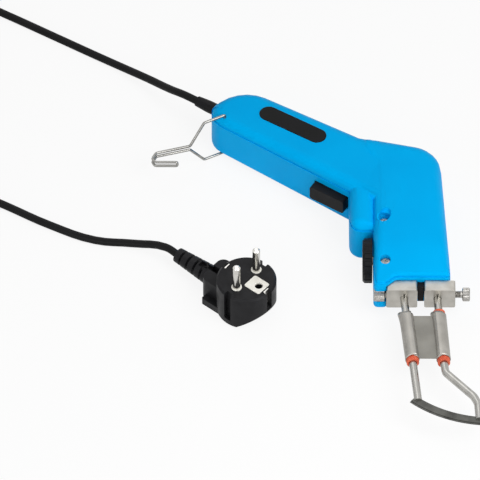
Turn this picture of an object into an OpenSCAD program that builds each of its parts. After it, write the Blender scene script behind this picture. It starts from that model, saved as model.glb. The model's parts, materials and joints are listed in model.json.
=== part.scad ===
// Electric hot knife, lying on the flat side of its head. The blade points to -Y, the cover faces +Z
// and the origin is the middle of the head's rest face.

/* [Head] */
// Front to back size of the head at the nose
head_w = 48; // [46:0.5:54]
// Thickness of the head
head_t = 38; // [37:0.5:42]
// From the origin down to the end of the nose
nose_reach = 57.5; // [56:0.5:62]
// Thickness of the nose at its end
nose_t = 25; // [24:0.5:27]
// From the origin up to the front end of the head's top line
head_top = 45.5; // [43:0.5:48]
// Radius of the head's upper front corner
crown_r = 20; // [14:1:22]
// Wall of the moulded body
wall = 2.4; // [2:0.1:3]
// Height of the parting line between base and cover
parting_z = 30; // [29.5:0.1:30.5]

/* [Handle] */
// Angle of the handle's axis below the X axis
handle_angle = 33; // [31:0.5:35]
// From the origin along the axis to the rear end
handle_reach = 151; // [146:1:165]
// Offset of the handle's axis from the origin
handle_off = 11.4; // [10:0.2:12]
// Width of the handle at its root in the head
handle_root_w = 43; // [41:0.5:45]
// Width of the handle at its rear end
handle_rear_w = 34.2; // [32:0.2:36]
// Thickness of the handle at its root
handle_root_t = 37; // [36:0.5:38]
// Thickness of the handle at its rear end
handle_rear_t = 31; // [30:0.5:33]
// Radius of the rear end on the back of the handle
rear_back_r = 26; // [20:1:27]

/* [Finger guard] */
// From the origin back to the guard's rear face
guard_x = 38.7; // [38:0.1:40]
// From the origin down to the guard's end
guard_y = 19; // [17:0.5:19.5]
// Thickness of the guard
guard_t = 33; // [30:0.5:34]

/* [Trigger] */
// Length of the trigger along the handle
trigger_len = 25; // [23:0.5:26]
// Width of the trigger
trigger_w = 10.5; // [9:0.5:12]
// How far the trigger stands out of the handle
trigger_out = 6; // [5:0.2:7]
// How far the trigger is pressed in
trigger_travel = 4; // [3:0.2:4.4]

/* [Dial] */
// Diameter of the dial knob
dial_d = 28; // [24:0.5:29]
// Thickness of the dial knob
dial_t = 6; // [5:0.2:7]
// Diameter of the dial's shaft
dial_shaft_d = 6; // [5:0.2:6.4]
// Number of flutes round the knob
dial_flutes = 18; // [12:1:22]

/* [Blade set] */
// Diameter of the blade's legs
leg_d = 5; // [4.6:0.1:5.4]
// From the clamp blocks' faces to the legs' ends
leg_reach = 99.5; // [90:0.5:106]
// Width of the cutting strip
strip_w = 6; // [5:0.2:7]
// Thickness of the cutting strip
strip_t = 1.2; // [1:0.1:1.6]
// Radius of the cutting strip
strip_r = 72; // [66:1:90]
// Length of the bracket on the legs
bracket_len = 36; // [30:1:40]
// Outer diameter of the bracket's rolled ends
bracket_d = 9.2; // [9:0.1:10]
// Sheet thickness of the bracket
bracket_t = 0.6; // [0.5:0.05:0.7]

/* [Clamp blocks] */
// Width of a clamp block
block_w = 19.3; // [18:0.1:19.6]
// Length of a clamp block outside the nose
block_len = 8.4; // [8:0.1:10]
// Thickness of a clamp block
block_t = 16; // [14:0.5:17]
// Gap between the blocks
block_gap = 4.3; // [4:0.1:5]
// Diameter of the clamp screws
clamp_d = 4; // [3.5:0.1:4.2]
// Diameter of the clamp screws' heads
clamp_head_d = 8.6; // [8:0.1:9]
// Thickness of the clamp screws' heads
clamp_head_t = 4.8; // [4:0.1:5]

/* [Hanging hook] */
// Wire diameter
wire_d = 1.8; // [1.6:0.1:2]
// From the pivot to the end of the hook
hook_reach = 51; // [46:1:56]
// Gap between the doubled wires
wire_gap = 1.5; // [1.2:0.1:2]

/* [Cord] */
// Diameter of the cord
cord_d = 5; // [4.8:0.1:5.1]
// Diameter of the gland at the handle
gland_d = 7.8; // [7.4:0.1:8.6]
// Length of the gland outside the handle
gland_len = 17; // [15:0.5:20]

/* [Plug] */
// Diameter of the plug's face
plug_d = 37.5; // [36:0.5:38.5]
// Height of the plug's body
plug_h = 27; // [25:0.5:29]
// Diameter of a pin
pin_d = 4.8; // [4.7:0.05:4.9]
// Length of a pin
pin_len = 19; // [18.5:0.1:19.5]
// Distance between the pins
pin_gap = 19; // [18.8:0.1:19.2]
// Length of the plug's strain relief
relief_len = 32; // [28:1:38]

/* [Inside] */
// Width of the transformer core
core_w = 28; // [26:0.5:28]
// Length of the transformer core
core_len = 46; // [40:1:47]
// Thickness of the transformer core
core_t = 19; // [17:0.5:19]
// Width of the core's middle leg
core_leg = 9; // [8:0.2:9.4]
// Thickness of the copper strap
strap_t = 1.4; // [1.2:0.1:1.5]
// Thickness of the primary winding
winding_t = 2.4; // [2:0.1:2.5]

/* [Hidden] */
$fn = 48;

// Clearances and cuts
fit = 0.05;
slack = 0.3;
over = 1;

// Body: edge roundings, seams and places
mid_z = head_t / 2;
near_r = 7;
far_r = 4;
nose_r = 3;
guard_r = 8;
rear_under_r = 13;
rear_depth = 8;
seam_step = 0.35;
groove_h = 1;
groove_in = 0.9;
arc_steps = 6;
edge_steps = 4;
taper_y = 30;
front_lean_share = 0.054;
top_rise_share = 0.233;
rear_x = -head_w / 2;
nose_y = -nose_reach;
handle_root = 10;
handle_rear_x = -handle_reach;
cheek_w = 7;
cheek_len = 6.5;
arch_w = 7;
head_back_x = -42;
neck_y = 33;

// Cover screws and their bosses
boss_d = 7;
recess_d = 6.5;
screw_d = 3;
screw_head_d = 5.6;
screw_head_t = 2.2;
screw_places = [[rear_x + 6.9, -13], [rear_x + 7.4, -46]];
screw_depths = [7, 3.2];
screw_grip = 9;

// Badge on the handle
badge_len = 48;
badge_w = 12;
badge_t = 0.8;
badge_in = 53;
badge_x = handle_rear_x + badge_in;
badge_y = 15.5;
badge_sink = 0.4;

// Trigger and switch, in the handle's frame
trigger_x = -53.6;
trigger_face_y = -8.6;
trigger_in = 7;
trigger_lip = 1.4;
trigger_lip_t = 1.6;
trigger_corner = 1.6;
stem_d = 4;
stem_len = 5;
switch_len = 24;
switch_h = 13;
switch_w = 14;
switch_gap = 0.4;

// Dial and regulator
dial_y = -34;
dial_gap = 0.6;
flute_d = 2.6;
shaft_in = 10;
regulator_d = 16;
regulator_t = 8;
board_w = 20;
board_t = 1.6;

// Clamp blocks and screws
block_mid_x = 5.4;
block_round = 1.2;
tongue_w = 10;
tongue_t = 10;
tongue_len = 11;
front_tongue_back = 2.3;
rear_bore_off = 1.5;
front_bore_off = -1.4;
shank_in = 16;
bore_in = 17;
clamp_y_off = 3.7;
key_w = 1.2;
key_up = 2.4;
key_in = 1.4;
rear_neck = 0.8;
rear_head_t = 7.2;
front_neck = 4.3;
neck_d = 4.6;
clamp_y = nose_y - block_len + clamp_y_off;
block_y = nose_y - block_len;
rear_block_x = block_mid_x - block_gap / 2 - block_w;
front_block_x = block_mid_x + block_gap / 2;
rear_bore_x = rear_block_x + block_w / 2 + rear_bore_off;
front_bore_x = front_block_x + block_w / 2 + front_bore_off;
rear_tongue_x = rear_block_x + block_w / 2;
front_tongue_x = front_block_x + block_w / 2 - front_tongue_back;
separator_len = 4.5;
separator_t = 13;

// Blade: legs' points as shares of their reach, from each bore's mouth
rear_leg_shares = [[0.077, 0.845]];
front_leg_shares = [[0.032, 0.525], [0.042, 0.612], [0.214, 0.81], [0.239, 0.868], [0.246, 1]];
leg_lead = 2;
leg_bend = 1.2;
leg_sides = 16;
function leg_points(x, shares) = [for (s = shares) [x, block_y] + leg_reach * [s[0], -s[1]]];
rear_leg = leg_points(rear_bore_x, rear_leg_shares);
front_leg = leg_points(front_bore_x, front_leg_shares);
rear_root = [rear_bore_x, block_y - leg_lead];
front_root = [front_bore_x, block_y - leg_lead];
strip_lap = 3.2;
strip_steps = 14;
strip_root_share = 0.33;
strip_edge_share = 0.67;
sleeve_d = 7.8;
sleeve_out = 3;
bracket_start_share = 0.125;

// Hook: pivot in the handle's frame, wire points as shares of its reach
pivot_in = 13;
pivot_x = handle_rear_x + pivot_in;
pivot_y = -1.5;
pin_in = 4;
wire_bend = 0.9;
wire_sides = 8;
hook_turn = 203;
hook_shares = [[0, 0], [0.286, 0.02], [0.49, 0.055], [0.92, 0], [1, 0.067], [0.995, 0.133], [0.74, 0.243]];

// Cord clamp inside the handle
gland_y = 12.4;
gland_in = 6;
gland_flange_d = 11;
gland_flange_t = 1.5;
gland_end_d = 6.6;
inner_len = 26;
clamp_in = 29;
clamp_x = handle_rear_x + clamp_in;
clamp_w = 7;
clamp_len = 22;
clamp_t = 3;
clamp_screw_gap = 14;

// Plug
plug_at = [-103, -56];
plug_turn = 140;
neck_w = 22;
neck_h = 17;
neck_len = 10;
relief_z = 9;
relief_d = 14;
relief_end_d = 9.6;
relief_ribs = 5;
relief_gap = 1.7;
rib_start_share = 0.6;
slot_w = 5;
slot_in = 3.4;
clip_w = 4.4;
clip_t = 0.8;
clip_h = 15;
clip_in = 3.4;
insert_len = 12;
insert_w = 11;
insert_x = -8.4;
insert_t = 1;
insert_up = 0.4;
socket_d = 4.9;
socket_x = -10;
socket_depth = 15;
collar_d = 6.6;
collar_t = 1.2;
pin_root = 6;
pin_root_d = 4.2;
base_h = 5;
base_w = 31;
heel_x = -5;
heel_slope_share = 0.8;

// Transformer
core_x = 1.5;
core_y = 4;
yoke = 7;
bobbin_t = 1;
flange_t = 1.2;
strap_w = 6;
strap_drop = 0.4;
post_d = 4;

// Cord: route points from the gland to the coil, and from the coil to the plug
lead_points = [[-151, 115.6, 15], [-166.5, 131.5, 8.5], [-182, 145, 4], [-198, 156, 2.6],
  [-227, 174, 2.6], [-257, 192.5, 2.6], [-276, 203.5, 2.6], [-295, 210.5, 2.6], [-314, 211, 2.6],
  [-330, 204, 2.6], [-341.5, 190.5, 2.6], [-347.5, 172.5, 2.8], [-349, 152, 3.2], [-349, 132, 3.6]];
tail_points = [[-319, 67, 8.6], [-302, 55, 5], [-282, 43, 2.7], [-254, 27, 2.6],
  [-226, 10.5, 2.6], [-198, -2, 2.6], [-174, -6, 4]];
coil_at = [-310, 110];
coil_z = 3.6;
coil_r = 39;
coil_pitch = 6.2;
coil_rise = 6;
coil_layer_turns = 3;
climb_turns = 0.5;
coil_turns = 6.125;
coil_start = 180;
loop_rings = 24;
coil_sides = 6;
cord_sides = 10;
tie_t = 0.8;
tie_w = 6;
tie_gap = 0.3;
tie_turns = 0.5;
steep_share = 0.9;

// Directions and small helpers
function unit(v) = v / norm(v);
function turned(p, a) = [p.x * cos(a) - p.y * sin(a), p.x * sin(a) + p.y * cos(a)];
function mix(a, b, t) = a + (b - a) * t;
function cross2(a, b) = a.x * b.y - a.y * b.x;

// Corner of an outline as points with their outward normals: an arc, or one mitred point
function corner(p, q, r, radius) = let(
  d1 = unit(q - p), d2 = unit(r - q), n1 = [d1.y, -d1.x], n2 = [d2.y, -d2.x],
  turn = atan2(cross2(d1, d2), d1 * d2), s = turn < 0 ? -1 : 1, a = atan2(n1.y, n1.x),
  mid = q - d1 * radius * tan(abs(turn) / 2) - s * n1 * radius)
  radius == 0 ? [concat(q, (n1 + n2) / (1 + n1 * n2))]
  : [for (i = [0 : arc_steps]) let(b = a + turn * i / arc_steps, n = [cos(b), sin(b)])
      concat(mid + s * radius * n, n)];

// Outline of corners [x, y, radius, edge rounding] as rows [x, y, normal x, normal y, rounding]
function outline(c) = let(m = len(c)) [for (i = [0 : m - 1])
  let(p = c[(i + m - 1) % m], q = c[i], r = c[(i + 1) % m])
  for (w = corner([p.x, p.y], [q.x, q.y], [r.x, r.y], q[2])) concat(w, q[3])];

// Ring of an outline drawn in by a depth and a share of its rounding
function drawn_in(rows, depth, part, z) = [for (w = rows)
  let(e = depth + max(w[4] - depth, 0) * part) [w[0] - w[2] * e, w[1] - w[3] * e, z]];

// Rings of a cushion-edged solid between two heights, drawn in all round by a depth
function cushion_rings(rows, z0, z1, depth) = let(rf = max(far_r - depth, 0), rn = max(near_r - depth, 0))
  concat(
    [for (i = [0 : edge_steps]) let(a = 90 * i / edge_steps)
      drawn_in(rows, depth, (1 - sin(a)) * far_r / near_r, z0 + depth + rf * (1 - cos(a)))],
    [for (i = [edge_steps : -1 : 0]) let(a = 90 * i / edge_steps)
      drawn_in(rows, depth, 1 - sin(a), z1 - depth - rn * (1 - cos(a)))]);

// Triangles between the rings, and caps split at two points of each ring
function skin(m, n) = [for (k = [0 : m - 2], i = [0 : n - 1]) let(a = k * n + i, b = k * n + (i + 1) % n)
  each [[a, b + n, b], [a, a + n, b + n]]];
function caps(m, n, split) = let(t = (m - 1) * n, last = split == 0 ? n - 1 : split)
  concat(
    [[for (i = [0 : last]) i], [for (i = [last : -1 : 0]) t + i]],
    split == 0 ? [] : [[for (i = [split : n]) i % n], [for (i = [n : -1 : split]) t + i % n]]);

module solid(rings, split) {
  n = len(rings[0]);
  polyhedron([for (r = rings) each r], concat(skin(len(rings), n), caps(len(rings), n, split)));
}

// Half thickness of the head along Y, and of the handle along its axis
function head_share(y) = y > -taper_y ? 1
  : mix(1, nose_t / head_t, (-taper_y - y) / (nose_reach - taper_y));
function handle_share(x) =
  mix(1, handle_rear_t / handle_root_t, (-handle_root - x) / (handle_reach - handle_root));
function front_x(y) = head_w / 2 - front_lean_share * (y - nose_y);
function top_y(x) = head_top + top_rise_share * (front_x(head_top) - x);

head_upper = [[front_x(-taper_y), -taper_y, 0, near_r], [front_x(head_top), head_top, crown_r, near_r],
  [head_back_x, top_y(head_back_x), near_r + over, near_r], [rear_x, neck_y, near_r + over, near_r],
  [rear_x, -taper_y, 0, near_r]];
head_lower = [[rear_x, nose_y - cheek_len, nose_r, nose_r],
  [rear_x + cheek_w, nose_y - cheek_len, nose_r, nose_r],
  [rear_x + cheek_w + arch_w, nose_y, nose_r, nose_r], [head_w / 2, nose_y, nose_r, nose_r]];
head_rows = outline(concat(head_upper, head_lower));
head_split = 1 + 3 * (arc_steps + 1);

handle_root_y = handle_root_w / 2;
handle_rear_y = handle_rear_w / 2;
handle_rows = outline([[-handle_root, handle_off - handle_root_y, 0, near_r],
  [-handle_root, handle_off + handle_root_y, 0, near_r],
  [handle_rear_x, handle_off + handle_rear_y, rear_back_r, near_r],
  [handle_rear_x, handle_off - handle_rear_y, rear_under_r, near_r]]);

guard_rows = outline([[rear_x + wall, -guard_y, 0, near_r], [rear_x + wall, guard_y, 0, near_r],
  [-guard_x, guard_y, 0, near_r], [-guard_x, -guard_y, guard_r, near_r]]);

function sloped(rings, share) = [for (r = rings)
  [for (p = r) [p.x, p.y, mid_z + (p.z - mid_z) * share(p)]]];

module on_handle() { rotate(-handle_angle) children(); }

// The moulded body's outer form, drawn in by a depth
module body_form(depth) {
  solid(sloped(cushion_rings(head_rows, 0, head_t, depth), function(p) head_share(p.y)), head_split);
  on_handle()
    solid(sloped(cushion_rings(handle_rows, mid_z - handle_root_t / 2, mid_z + handle_root_t / 2, depth),
      function(p) handle_share(p.x)), 0);
  solid(cushion_rings(guard_rows, mid_z - guard_t / 2, mid_z + guard_t / 2, depth), 0);
}

body_forms_size = handle_reach + head_w + nose_reach;
module slab(z0, z1) {
  translate([-body_forms_size, -body_forms_size, z0])
    cube([2 * body_forms_size, 2 * body_forms_size, z1 - z0]);
}

module upright(places, d, z0, z1) {
  for (p = places) translate([p.x, p.y, z0]) cylinder(d = d, h = z1 - z0);
}

// The two moulded shells without their holes
module base_shell() {
  resize([0, 0, parting_z]) intersection() {
    difference() {
      body_form(0);
      body_form(wall);
      difference() {
        slab(parting_z - groove_h, parting_z + over);
        body_form(groove_in);
      }
    }
    slab(0, parting_z);
  }
}

module cover_shell() {
  resize([0, 0, head_t - seam_step - parting_z]) intersection() {
    difference() {
      body_form(seam_step);
      body_form(wall);
    }
    slab(parting_z, head_t);
  }
}

// Rods and wires along points, with round bends
module rod(p, q, d) {
  v = q - p;
  translate(p) rotate([0, acos(v.z / norm(v)), atan2(v.y, v.x)]) cylinder(d = d, h = norm(v));
}

// Points with each inner corner rounded over a length
function bend(p, q, r, l) = let(a = q - l * unit(q - p), b = q + l * unit(r - q))
  [a, (a + 2 * q + b) / 4, b];
function bends(pts, l) = concat([pts[0]],
  [for (i = [1 : len(pts) - 2]) each bend(pts[i - 1], pts[i], pts[i + 1], l)], [pts[len(pts) - 1]]);

module along_x(x, y, z) { translate([x, y, z]) rotate([0, 90, 0]) children(); }
module along_y(x, y, z) { translate([x, y, z]) rotate([90, 0, 0]) children(); }

// Slab with round ends, drawn on the XY plane
module oval(len, w, t) {
  linear_extrude(t) {
    square([len - w, w], center = true);
    for (s = [-1, 1]) translate([s * (len - w) / 2, 0]) circle(d = w);
  }
}

// Rectangle with round corners
module round_rect(size, r) {
  square([size.x - 2 * r, size.y], center = true);
  square([size.x, size.y - 2 * r], center = true);
  for (x = [-1, 1], y = [-1, 1]) translate([x * (size.x / 2 - r), y * (size.y / 2 - r)]) circle(r);
}

module box(lo, hi) { translate(lo) cube(hi - lo); }

// What passes through the housing: nose openings, trigger slot, dial shaft, gland and hook pins
module nose_openings() {
  for (x = [rear_tongue_x, front_tongue_x])
    box([x - tongue_w / 2 - slack, nose_y - over, mid_z - tongue_t / 2 - slack],
      [x + tongue_w / 2 + slack, nose_y + wall + over, mid_z + tongue_t / 2 + slack]);
  box([rear_x - over, nose_y - cheek_len - over, mid_z - clamp_head_d / 2 - 2 * slack],
    [rear_block_x, nose_y + 2 * slack, mid_z + clamp_head_d / 2 + 2 * slack]);
  box([rear_block_x - slack, nose_y - cheek_len - over, mid_z - block_t / 2 - slack],
    [head_w, nose_y + slack, mid_z + block_t / 2 + slack]);
}

module trigger_slot() {
  slot_len = trigger_len + 2 * slack;
  slot_h = trigger_w + 2 * slack;
  on_handle() box([trigger_x - slot_len / 2, trigger_face_y - trigger_out - over, mid_z - slot_h / 2],
    [trigger_x + slot_len / 2, trigger_face_y + 2 * wall, mid_z + slot_h / 2]);
}

module dial_hole() {
  along_x(rear_x - over, dial_y, mid_z) cylinder(d = dial_shaft_d + 2 * slack, h = wall + 2 * over);
}

module gland_hole() {
  on_handle() along_x(handle_rear_x - over, gland_y, mid_z)
    cylinder(d = gland_d + 2 * fit, h = 2 * rear_depth);
}

hook_half = handle_t_at(pivot_x) / 2;
function handle_t_at(x) = handle_root_t * handle_share(x);

module hook_holes() {
  on_handle() for (s = [-1, 1]) translate([pivot_x, pivot_y, mid_z + s * hook_half])
    cylinder(d = wire_d + 2 * fit, h = 2 * pin_in, center = true);
}

module housing_base() {
  color("deepskyblue") difference() {
    union() {
      base_shell();
      upright(screw_places, boss_d, wall / 2, parting_z - slack);
      core_posts();
      on_handle() switch_posts();
      on_handle() clamp_posts();
    }
    nose_openings();
    trigger_slot();
    dial_hole();
    gland_hole();
    hook_holes();
    upright(screw_places, screw_d, parting_z - screw_grip, parting_z);
  }
}

// Posts that carry the inner pieces
module core_posts() {
  for (x = [-1, 1], y = [-1, 1])
    translate([core_x + x * (core_w - post_d) / 2, core_y + y * (core_len - post_d) / 2, wall / 2])
      cylinder(d = post_d, h = mid_z - core_t / 2 - wall / 2);
}

module switch_posts() {
  for (x = [-1, 1])
    translate([trigger_x + x * (switch_len - post_d) / 2, switch_y + switch_h / 2, handle_floor(trigger_x)])
      cylinder(d = post_d, h = mid_z - switch_w / 2 - handle_floor(trigger_x));
}

module clamp_posts() {
  for (y = [-1, 1]) translate([clamp_x, gland_y + y * clamp_screw_gap / 2, handle_floor(clamp_x)])
    cylinder(d = clamp_w, h = mid_z - handle_floor(clamp_x));
}

function handle_floor(x) = mid_z - handle_t_at(x) / 2 + wall / 2;
switch_y = trigger_face_y + trigger_in + trigger_travel + switch_gap;

module housing_cover() {
  color("deepskyblue") difference() {
    union() {
      cover_shell();
      for (i = [0 : 1]) upright([screw_places[i]], boss_d + wall, parting_z, screw_top(i));
    }
    nose_openings();
    hook_holes();
    for (i = [0 : 1]) {
      upright([screw_places[i]], screw_d + 2 * slack, parting_z - over, head_t);
      upright([screw_places[i]], recess_d, screw_top(i) - screw_depths[i], head_t + over);
    }
    on_handle() translate([badge_x, badge_y, badge_z]) rotate([0, badge_tilt, 0])
      oval(badge_len, badge_w, near_r);
  }
}

// Height of the cover's face at a screw, and at the badge
function screw_top(i) = mid_z + head_t / 2 * head_share(screw_places[i].y) - wall / 2;
badge_tilt = atan((handle_rear_t - handle_root_t) / 2 / (handle_reach - handle_root));
badge_z = mid_z + handle_t_at(badge_x) / 2 - badge_sink - seam_step;

module cover_screws() {
  color("gainsboro") for (i = [0 : 1]) {
    seat = screw_top(i) - screw_depths[i];
    below = seat - parting_z + screw_grip / 2;
    translate(concat(screw_places[i], seat)) difference() {
      union() {
        cylinder(d = screw_head_d, h = screw_head_t);
        translate([0, 0, -below]) cylinder(d = screw_d - 2 * fit, h = below);
      }
      for (a = [0, 90]) rotate(a)
        translate([-screw_head_d / 2 * cross_share, -cross_w / 2, screw_head_t - cross_w])
          cube([screw_head_d * cross_share, cross_w, screw_head_t]);
    }
  }
}
cross_share = 0.6;
cross_w = 0.9;

module badge_plate() {
  color("black") on_handle() translate([badge_x, badge_y, badge_z + fit]) rotate([0, badge_tilt, 0])
    oval(badge_len - 2 * fit, badge_w - 2 * fit, badge_t);
}

// Push bar with a lip that keeps it in, and a stem into the switch
module trigger() {
  color("black") on_handle() translate([trigger_x, trigger_face_y, mid_z]) {
    rotate([90, 0, 0]) translate([0, 0, -trigger_in]) {
      linear_extrude(trigger_in + trigger_out) round_rect([trigger_len, trigger_w], trigger_corner);
      linear_extrude(trigger_lip_t)
        round_rect([trigger_len + 2 * trigger_lip, trigger_w + 2 * trigger_lip], trigger_corner);
      translate([0, 0, -stem_len]) cylinder(d = stem_d, h = stem_len + trigger_lip_t);
    }
  }
}

module trigger_switch() {
  color("dimgray") on_handle() difference() {
    box([trigger_x - switch_len / 2, switch_y, mid_z - switch_w / 2],
      [trigger_x + switch_len / 2, switch_y + switch_h, mid_z + switch_w / 2]);
    along_y(trigger_x, switch_y + stem_len + trigger_travel, mid_z)
      cylinder(d = stem_d + 2 * slack, h = stem_len + trigger_travel + over);
  }
}

module dial_knob() {
  color("black") along_x(rear_x - dial_gap - dial_t, dial_y, mid_z) difference() {
    rotate_extrude() polygon([[0, 0], [dial_d / 2 - flute_d / 2, 0], [dial_d / 2, flute_d / 2],
      [dial_d / 2, dial_t], [0, dial_t]]);
    for (i = [1 : dial_flutes]) rotate(360 / dial_flutes * i)
      translate([dial_d / 2 + flute_d / 4, 0, -over]) cylinder(d = flute_d, h = dial_t + 2 * over);
    translate([0, 0, dial_t / 2]) cylinder(d = dial_shaft_d, h = dial_t);
  }
}

module dial_shaft() {
  color("silver") along_x(rear_x - dial_gap - dial_t / 2, dial_y, mid_z)
    cylinder(d = dial_shaft_d, h = shaft_in + dial_gap + dial_t / 2);
}

module regulator() {
  color("steelblue") along_x(rear_x + wall + fit, dial_y, mid_z) difference() {
    cylinder(d = regulator_d, h = regulator_t);
    translate([0, 0, -over]) cylinder(d = dial_shaft_d + 2 * fit, h = regulator_t + 2 * over);
  }
}

module control_board() {
  color("darkgreen") box([board_x, dial_y - board_w / 2, mid_z - board_w / 2],
    [board_x + board_t, dial_y + board_w / 2, mid_z + board_w / 2]);
}
board_x = rear_x + wall + 2 * fit + max(regulator_t, shaft_in - wall);

// Shell type core: a block with two windows round its middle leg
window_w = (core_w - core_leg) / 2 - yoke / 2;
module transformer_core() {
  color("slategray") difference() {
    box([core_x - core_w / 2, core_y - core_len / 2, mid_z - core_t / 2],
      [core_x + core_w / 2, core_y + core_len / 2, mid_z + core_t / 2]);
    for (s = [-1, 1]) translate([core_x + s * (core_leg + window_w) / 2, core_y, mid_z])
      cube([window_w, core_len - 2 * yoke, core_t + 2 * over], center = true);
  }
}

module frame_round(t0, t1, len) {
  translate([core_x, core_y, mid_z]) difference() {
    cube([core_leg + 2 * t1, len, core_t + 2 * t1], center = true);
    cube([core_leg + 2 * t0, len + 2 * over, core_t + 2 * t0], center = true);
  }
}

module bobbin() {
  color("ivory") frame_round(fit, bobbin_t, core_len - 2 * yoke - 2 * slack);
}

module primary_winding() {
  color("peru")
    frame_round(bobbin_t + fit, bobbin_t + winding_t, core_len - 2 * yoke - 2 * flange_t - 2 * slack);
}

// One turn of copper strap through the windows, with tails down to the clamp blocks
strap_z = mid_z + core_t / 2 + strap_drop;
strap_in = core_leg / 2 + bobbin_t + winding_t + slack;
strap_low = mid_z - core_t / 2 - bobbin_t - winding_t - slack - strap_t;
strap_end_y = nose_y + tongue_len / 2;
module secondary_strap() {
  color("chocolate") {
    box([core_x - strap_in - strap_t, core_y - strap_w / 2, strap_low],
      [core_x + strap_in + strap_t, core_y + strap_w / 2, strap_low + strap_t]);
    for (s = [-1, 1]) {
      x0 = core_x + strap_in * s - (s < 0 ? strap_t : 0);
      x1 = x0 + strap_t;
      end_x = s < 0 ? rear_tongue_x : front_tongue_x;
      box([x0, core_y - strap_w / 2, strap_low], [x1, core_y + strap_w / 2, strap_z + strap_t]);
      box([x0, strap_end_y, strap_z], [x1, core_y + strap_w / 2, strap_z + strap_t]);
      box([min(x0, end_x - strap_w / 2), strap_end_y - strap_t, strap_z],
        [max(x1, end_x + strap_w / 2), strap_end_y + strap_w / 2, strap_z + strap_t]);
      box([end_x - strap_w / 2, strap_end_y - strap_t, mid_z + tongue_t / 2 + fit],
        [end_x + strap_w / 2, strap_end_y, strap_z + strap_t]);
    }
  }
}

// Clamp block: round-edged bar under the nose, a tongue inside it, a leg bore and a screw bore
module terminal_block(x, tongue_x, bore_x, side) {
  difference() {
    union() {
      translate([x + block_w / 2, nose_y - slack / 2, mid_z]) rotate([90, 0, 0])
        linear_extrude(block_len - slack / 2) round_rect([block_w, block_t], block_round);
      box([tongue_x - tongue_w / 2, nose_y - over, mid_z - tongue_t / 2],
        [tongue_x + tongue_w / 2, nose_y + tongue_len, mid_z + tongue_t / 2]);
    }
    along_y(bore_x, block_y + bore_in, mid_z) cylinder(d = leg_d + 2 * fit, h = bore_in + over);
    box([bore_x - key_w / 2, block_y - over, mid_z],
      [bore_x + key_w / 2, block_y + key_in, mid_z + leg_d / 2 + key_up]);
    along_x(side < 0 ? x - over : bore_x, clamp_y, mid_z)
      cylinder(d = clamp_d + 2 * fit, h = over + (side < 0 ? bore_x - x : x + block_w - bore_x));
  }
}
module terminal_block_rear() {
  color("silver") terminal_block(rear_block_x, rear_tongue_x, rear_bore_x, -1);
}
module terminal_block_front() {
  color("silver") terminal_block(front_block_x, front_tongue_x, front_bore_x, 1);
}

module block_separator() {
  half = block_gap / 2 - slack;
  color("dimgray") box([block_mid_x - half, nose_y - separator_len, mid_z - separator_t / 2],
    [block_mid_x + half, nose_y - fit, mid_z + separator_t / 2]);
}

// Thumb screw along +X from the leg it clamps: plain shank, neck and slotted head
module clamp_screw(len, neck, head) {
  chamfer = block_round / 2;
  top = len + neck + head;
  rotate_extrude() polygon([[0, 0], [clamp_d / 2, 0], [clamp_d / 2, len], [neck_d / 2, len + fit],
    [neck_d / 2, len + neck], [clamp_head_d / 2 - chamfer, len + neck],
    [clamp_head_d / 2, len + neck + chamfer], [clamp_head_d / 2, top - chamfer],
    [clamp_head_d / 2 - chamfer, top], [0, top]]);
}
screw_tip = leg_d / 2 + 2 * fit;
module clamp_screw_rear() {
  color("lightgray") along_x(rear_bore_x - screw_tip, clamp_y, mid_z) rotate([180, 0, 0])
    clamp_screw(rear_bore_x - screw_tip - rear_block_x, rear_neck, rear_head_t);
}
module clamp_screw_front() {
  color("lightgray") along_x(front_bore_x + screw_tip, clamp_y, mid_z)
    clamp_screw(front_block_x + block_w - front_bore_x - screw_tip, front_neck, clamp_head_t);
}

// Cutting strip on an arc between the ends of the legs, tapered to its lower edge
strip_a = rear_leg[len(rear_leg) - 1];
strip_b = front_leg[len(front_leg) - 1];
strip_chord = strip_b - strip_a;
strip_rise = sqrt(strip_r ^ 2 - norm(strip_chord) ^ 2 / 4);
strip_mid = (strip_a + strip_b) / 2 + turned(unit(strip_chord), 90) * strip_rise;
strip_from = atan2(strip_a.y - strip_mid.y, strip_a.x - strip_mid.x);
strip_to = atan2(strip_b.y - strip_mid.y, strip_b.x - strip_mid.x);
strip_lap_angle = strip_lap / strip_r * 180 / PI;
function strip_at(share) = mix(strip_from - strip_lap_angle, strip_to + strip_lap_angle, share);
function strip_arc(r) = [for (i = [0 : strip_steps])
  let(a = strip_at(i / strip_steps)) strip_mid + r * [cos(a), sin(a)]];
module strip_slab(w0, w1, t) {
  translate([0, 0, mid_z - t / 2]) linear_extrude(t)
    polygon(concat(strip_arc(strip_r - w0), reversed(strip_arc(strip_r + w1))));
}
module blade_strip() {
  color("dimgray") {
    strip_slab(strip_w * strip_root_share, strip_w / 2, strip_t);
    strip_slab(0, strip_w * strip_edge_share, strip_t / 2);
  }
}

module strip_slot(a) {
  translate(concat(strip_mid, mid_z)) rotate(a)
    translate([strip_r - strip_w * strip_root_share - fit, -2 * leg_d, -strip_t / 2 - fit])
      cube([2 * strip_w, 4 * leg_d, strip_t + 2 * fit]);
}
module leg(x, root, points, a) {
  run = [for (p = concat([[x, block_y + shank_in], root], points)) concat(p, mid_z)];
  difference() {
    tube(bends(run, leg_bend), leg_d, leg_sides);
    strip_slot(a);
  }
}
module blade_leg_rear() { color("silver") leg(rear_bore_x, rear_root, rear_leg, strip_from); }
module blade_leg_front() { color("silver") leg(front_bore_x, front_root, front_leg, strip_to); }

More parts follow.
